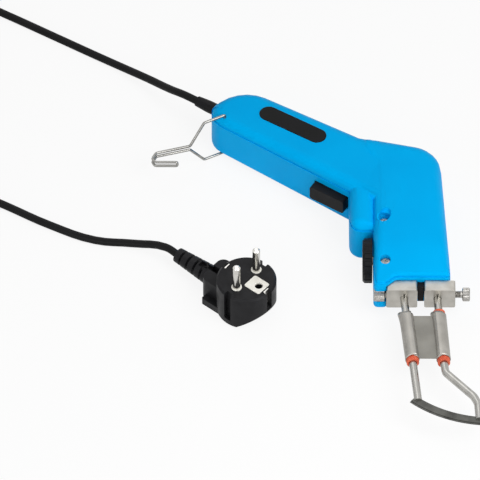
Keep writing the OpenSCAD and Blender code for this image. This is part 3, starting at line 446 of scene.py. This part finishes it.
def soft_cover(bm):
    """The filled neck, and the upper recess drawn out to a slanted oval at its rim."""
    filled_neck(bm)
    middle = mm(*RECESS_AT)
    rim = [point for point in bm.verts if point.co.z > RIM_ABOVE * MM
           and (point.co.xy - middle.xy).length < RECESS_R * MM]
    slant = Matrix(((RIM_WIDER, RIM_LEAN, 0, RIM_SHIFT[0] * MM),
                    (0, RIM_LONGER, 0, RIM_SHIFT[1] * MM), (0, 0, 1, 0), (0, 0, 0, 1)))
    bmesh.ops.transform(bm, verts=rim, space=Matrix.Translation(-middle), matrix=slant)


def dressed(node, finish, edge=0.0, corner=34, shape=None):
    """A smooth copy of a solid: its edges past a corner in degrees are rounded by a size in mm."""
    bm = bmesh.new()
    bm.from_mesh(nodes[node].data)
    bmesh.ops.remove_doubles(bm, verts=bm.verts, dist=MERGE)
    bmesh.ops.dissolve_limit(bm, angle_limit=FLAT, verts=bm.verts, edges=bm.edges)
    if shape:
        shape(bm)
    for face in bm.faces:
        face.smooth = True
    for side in bm.edges:
        side.smooth = side.is_manifold and side.calc_face_angle() < math.radians(corner)
    piece = new_piece(node + "_finished", bm, finish)
    if edge:
        rounding = piece.modifiers.new("rounded_edges", "BEVEL")
        rounding.width = edge * MM
        rounding.segments = 2
        rounding.limit_method = "ANGLE"
        rounding.angle_limit = math.radians(corner)
    even = piece.modifiers.new("even_shading", "WEIGHTED_NORMAL")
    even.keep_sharp = True
    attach(piece, nodes[node]["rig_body"])
    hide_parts(node)
    return piece


dressed("housing_base", blue, shape=filled_neck)
dressed("housing_cover", blue, shape=soft_cover)
dressed("cover_screws", screw_steel, 0.15)
dressed("badge_plate", badge_black, 0.2)
dressed("trigger", black, 0.6)
dressed("dial_knob", black, 0.3)
dressed("hanging_hook", wire_steel, corner=50)
dressed("cord_gland", black, 0.3)
dressed("terminal_block_rear", nickel, 0.3)
dressed("terminal_block_front", nickel, 0.3)
dressed("block_separator", black, 0.2)
dressed("blade_leg_rear", rod_steel)
dressed("blade_leg_front", rod_steel)
dressed("blade_strip", strip_steel)
dressed("leg_sleeve_rear", red, 0.2)
dressed("leg_sleeve_front", red, 0.2)
plug_pieces = [
    dressed("plug_body", plug_black, 0.4),
    dressed("plug_pins", pin_nickel, 0.2),
    dressed("plug_collars", white, 0.15),
    dressed("plug_insert", white, 0.2),
    dressed("earth_clips", pin_nickel, 0.1),
    dressed("coil_tie", black, 0.2),
]


# Thumb screws: turned from a profile, the head's rim knurled, the open neck threaded.

SHANK_R, ROOT_R, CREST_R, HEAD_R, PITCH = 2.0, 1.95, 2.3, 4.3, 0.72
TURN_STEPS, KNURL = 56, 0.94


def turned_screw(node, way, length, neck, head):
    """Profile points are (distance along the screw, radius) in mm, from its tip."""
    low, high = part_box(node)
    tip = high.x if way < 0 else low.x
    rows = [(0, 0.0), (0, 1.6), (0.4, SHANK_R), (length, SHANK_R)]
    for i in range(max(int(neck / PITCH), 1)):
        rows += [(length + PITCH * (i + 0.15), ROOT_R), (length + PITCH * (i + 0.6), CREST_R)]
    start, end = length + neck, length + neck + head
    rows += [(start, CREST_R), (start, 3.4), (start + 0.5, HEAD_R), (end - 0.6, HEAD_R),
             (end, 3.7), (end, 2.4), (end - 0.5, 2.1), (end - 0.5, 0.0)]
    bm = bmesh.new()
    line = [bm.verts.new((along * MM, radius * MM, 0)) for along, radius in rows]
    edges = [bm.edges.new(pair) for pair in zip(line, line[1:])]
    bmesh.ops.spin(bm, geom=line + edges, cent=(0, 0, 0), axis=(1, 0, 0), angle=2 * math.pi,
                   steps=TURN_STEPS, use_merge=True)
    bmesh.ops.remove_doubles(bm, verts=bm.verts, dist=1e-7)
    for point in bm.verts:
        radius = math.hypot(point.co.y, point.co.z)
        if abs(radius - HEAD_R * MM) < 1e-6:
            step = round(math.atan2(point.co.z, point.co.y) / (2 * math.pi) * TURN_STEPS)
            if step % 2:
                point.co.y *= KNURL
                point.co.z *= KNURL
    bmesh.ops.recalc_face_normals(bm, faces=bm.faces)
    for side in bm.edges:
        side.smooth = side.calc_face_angle() < math.radians(28)
    for face in bm.faces:
        face.smooth = True
    facing = Matrix.Rotation(math.pi if way < 0 else 0, 4, "Z")
    middle = (low + high) / 2
    place = Matrix.Translation((tip, middle.y, middle.z)) @ facing
    bmesh.ops.transform(bm, matrix=place, verts=bm.verts)
    piece = new_piece(node + "_turned", bm, screw_steel)
    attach(piece, nodes[node]["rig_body"])
    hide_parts(node)


turned_screw("clamp_screw_rear", -1, 8.55, 0.8, 7.2)
turned_screw("clamp_screw_front", 1, 8.45, 4.3, 4.8)


# Bracket: sheet rolled round both sleeves, each roll lapped over itself with its upper corner bent
# out, and the flat plate between them, a little rougher and with painted shade for its dimmer
# reflection.

BRACKET_LEN, SHEET, ROLL_R, LAP_LIFT = 36, 0.5, 4.22, 1.1
ROLL_FROM, ROLL_TURN, LAP_TURN = math.radians(75), math.radians(300), math.radians(75)
ROLL_CUTS, ROLL_STEPS, LAP_STEPS = 23, 45, 12
BENT_OUT, BENT_UP, BENT_REACH = 0.9, 2, 3
PLATE_IN, PLATE_UP = 4, 1.2
REAR_TOP, REAR_WAY = Vector((-3.745, -80.28, 19)), Vector((0.0929, -0.9957, 0))
FRONT_TOP, FRONT_WAY = Vector((16.587, -80.31, 19)), Vector((0.0633, -0.998, 0))


def roll_round(bm, top, way, side):
    """Sheet spun round a sleeve from its near side: a turn and a lap. Side points to the plate."""
    first = len(bm.verts)
    across, up = Vector((side, 0, 0)), Vector((0, 0, 1))
    start = top + ROLL_R * (across * math.cos(ROLL_FROM) + up * math.sin(ROLL_FROM))
    line = bm.edges.new([bm.verts.new(p * MM) for p in (start, start + way * BRACKET_LEN)])
    bmesh.ops.subdivide_edges(bm, edges=[line], cuts=ROLL_CUTS)
    wire = [part for part in bm.edges if part.is_wire] + bm.verts[:][first:]
    turn = {"cent": top * MM, "axis": way}
    spun = bmesh.ops.spin(bm, geom=wire, angle=-side * ROLL_TURN, steps=ROLL_STEPS, **turn)
    lapped = len(bm.verts)
    bmesh.ops.spin(bm, geom=spun["geom_last"], angle=-side * LAP_TURN, steps=LAP_STEPS, **turn)
    lap_from = up - across
    for count, point in enumerate(bm.verts[:][first:], first):
        place = point.co / MM - top
        along = place.dot(way)
        out = (place - along * way).normalized()
        if count >= lapped:
            point.co += LAP_LIFT * MM * out.angle(lap_from) / LAP_TURN * out
        bent = max(-out.x, 0) ** 2 * math.exp(-along / BENT_REACH)
        point.co += (BENT_OUT * out - BENT_UP * way) * bent * MM


def rolled_bracket():
    bm = bmesh.new()
    roll_round(bm, REAR_TOP, REAR_WAY, 1)
    roll_round(bm, FRONT_TOP, FRONT_WAY, -1)
    for face in bm.faces:
        face.smooth = True
    into_rear, into_front = Vector((PLATE_IN, 0, PLATE_UP)), Vector((-PLATE_IN, 0, PLATE_UP))
    corners = [REAR_TOP + REAR_WAY + into_rear, REAR_TOP + REAR_WAY * BRACKET_LEN + into_rear,
               FRONT_TOP + FRONT_WAY * BRACKET_LEN + into_front, FRONT_TOP + FRONT_WAY + into_front]
    plate = [bm.verts.new(corner * MM) for corner in corners]
    bmesh.ops.contextual_create(bm, geom=plate, mat_nr=1)
    bmesh.ops.recalc_face_normals(bm, faces=bm.faces)
    piece = new_piece("blade_bracket_rolled", bm, sheet_nickel)
    # Second slot: the plate's copy of the sheet's finish, with painted shade.
    piece.data.materials.append(shaded_plate_nickel)
    thick = piece.modifiers.new("sheet_thickness", "SOLIDIFY")
    thick.thickness = SHEET * MM
    thick.offset = 0
    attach(piece, nodes["blade_bracket"]["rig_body"])
    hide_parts("blade_bracket")


rolled_bracket()


# Inner pieces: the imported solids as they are, each with its finish.

inside = {"trigger_switch": black, "dial_shaft": screw_steel, "regulator": pot_blue,
          "control_board": board, "transformer_core": iron, "bobbin": ivory,
          "primary_winding": copper, "secondary_strap": copper, "inner_lead": cord_black,
          "cord_clamp": ivory, "clamp_fasteners": screw_steel}
for node, finish in inside.items():
    nodes[node].data.materials.clear()
    nodes[node].data.materials.append(finish)
